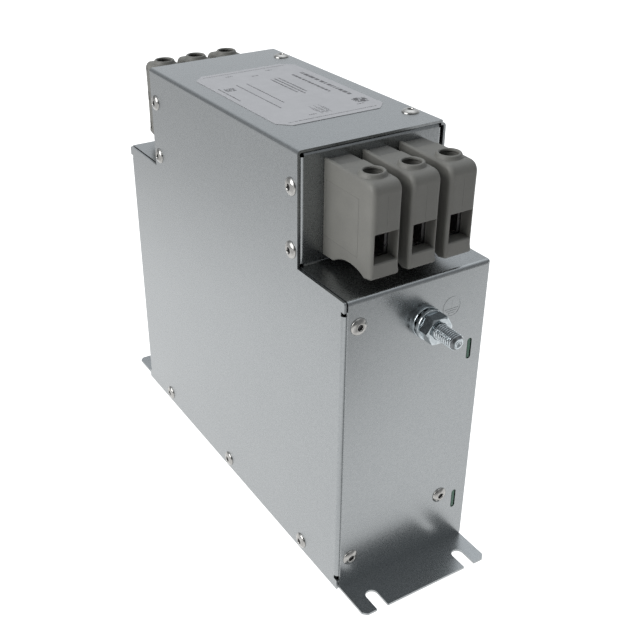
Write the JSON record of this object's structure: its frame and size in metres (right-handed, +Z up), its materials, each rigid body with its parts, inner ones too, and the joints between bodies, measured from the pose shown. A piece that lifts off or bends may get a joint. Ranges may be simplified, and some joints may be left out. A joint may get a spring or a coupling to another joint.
{
  "type": "three-phase line filter",
  "caption": "Book-style three-phase line filter in a stepped sheet steel case with slotted mounting flanges, feed-through screw terminals and an earth stud at each end.",
  "frame": {"origin": "centre of the mounting face under the base plate", "axes": "+Z up from the mounting face, +Y along the case from the front end to the rear end, +X to the right seen from the front end"},
  "size_m": [0.083, 0.278, 0.2215],
  "materials": {
    "galvanised_case": "semi-gloss zinc coating with a fine grain",
    "rivet_steel": "bright, smooth",
    "label_film": "satin film, dark grey print",
    "terminal_moulding": "matt, warm grey, fine moulded texture",
    "clamp_steel": "zinc plated",
    "copper": "tinned copper, dull",
    "zinc_plate": "bright zinc plating",
    "board_laminate": "green solder mask",
    "insulating_film": "translucent film",
    "capacitor_case": "matt",
    "earth_capacitor_case": "matt",
    "resistor_body": "lacquered",
    "ferrite": "matt, dark",
    "cradle_moulding": "matt black",
    "copper_wire": "enamelled copper"
  },
  "bodies": {
    "root": {"cover": "galvanised_case", "right_side_panel": "galvanised_case", "front_end_wall": "galvanised_case", "rear_end_wall": "galvanised_case", "base_plate": "galvanised_case", "left_side_rivets": "rivet_steel", "right_side_rivets": "rivet_steel", "top_rivets": "rivet_steel", "front_wall_rivets": "rivet_steel", "rear_wall_rivets": "rivet_steel", "label": "label_film", "front_inner_bracket": "galvanised_case", "front_terminal_left": "terminal_moulding", "front_clamp_cage_left": "clamp_steel", "front_current_bar_left": "copper", "front_terminal_middle": "terminal_moulding", "front_clamp_cage_middle": "clamp_steel", "front_current_bar_middle": "copper", "front_terminal_right": "terminal_moulding", "front_clamp_cage_right": "clamp_steel", "front_current_bar_right": "copper", "front_clamp_screws": "clamp_steel", "front_earth_stud": "zinc_plate", "front_flat_washers": "zinc_plate", "front_lock_washer": "zinc_plate", "front_earth_nut": "zinc_plate", "rear_inner_bracket": "galvanised_case", "rear_terminal_left": "terminal_moulding", "rear_clamp_cage_left": "clamp_steel", "rear_current_bar_left": "copper", "rear_terminal_middle": "terminal_moulding", "rear_clamp_cage_middle": "clamp_steel", "rear_current_bar_middle": "copper", "rear_terminal_right": "terminal_moulding", "rear_clamp_cage_right": "clamp_steel", "rear_current_bar_right": "copper", "rear_clamp_screws": "clamp_steel", "rear_earth_stud": "zinc_plate", "rear_flat_washers": "zinc_plate", "rear_lock_washer": "zinc_plate", "rear_earth_nut": "zinc_plate", "circuit_board": "board_laminate", "insulating_sheet": "insulating_film", "x_capacitor_line_1": "capacitor_case", "x_capacitor_line_2": "capacitor_case", "x_capacitor_line_3": "capacitor_case", "y_capacitor_line": "earth_capacitor_case", "x_capacitor_load_1": "capacitor_case", "x_capacitor_load_2": "capacitor_case", "x_capacitor_load_3": "capacitor_case", "y_capacitor_load": "earth_capacitor_case", "discharge_resistor_1": "resistor_body", "discharge_resistor_2": "resistor_body", "discharge_resistor_3": "resistor_body", "choke_core": "ferrite", "choke_cradle": "cradle_moulding", "winding_left": "copper_wire", "winding_middle": "copper_wire", "winding_right": "copper_wire"}
  },
  "joints": []
}
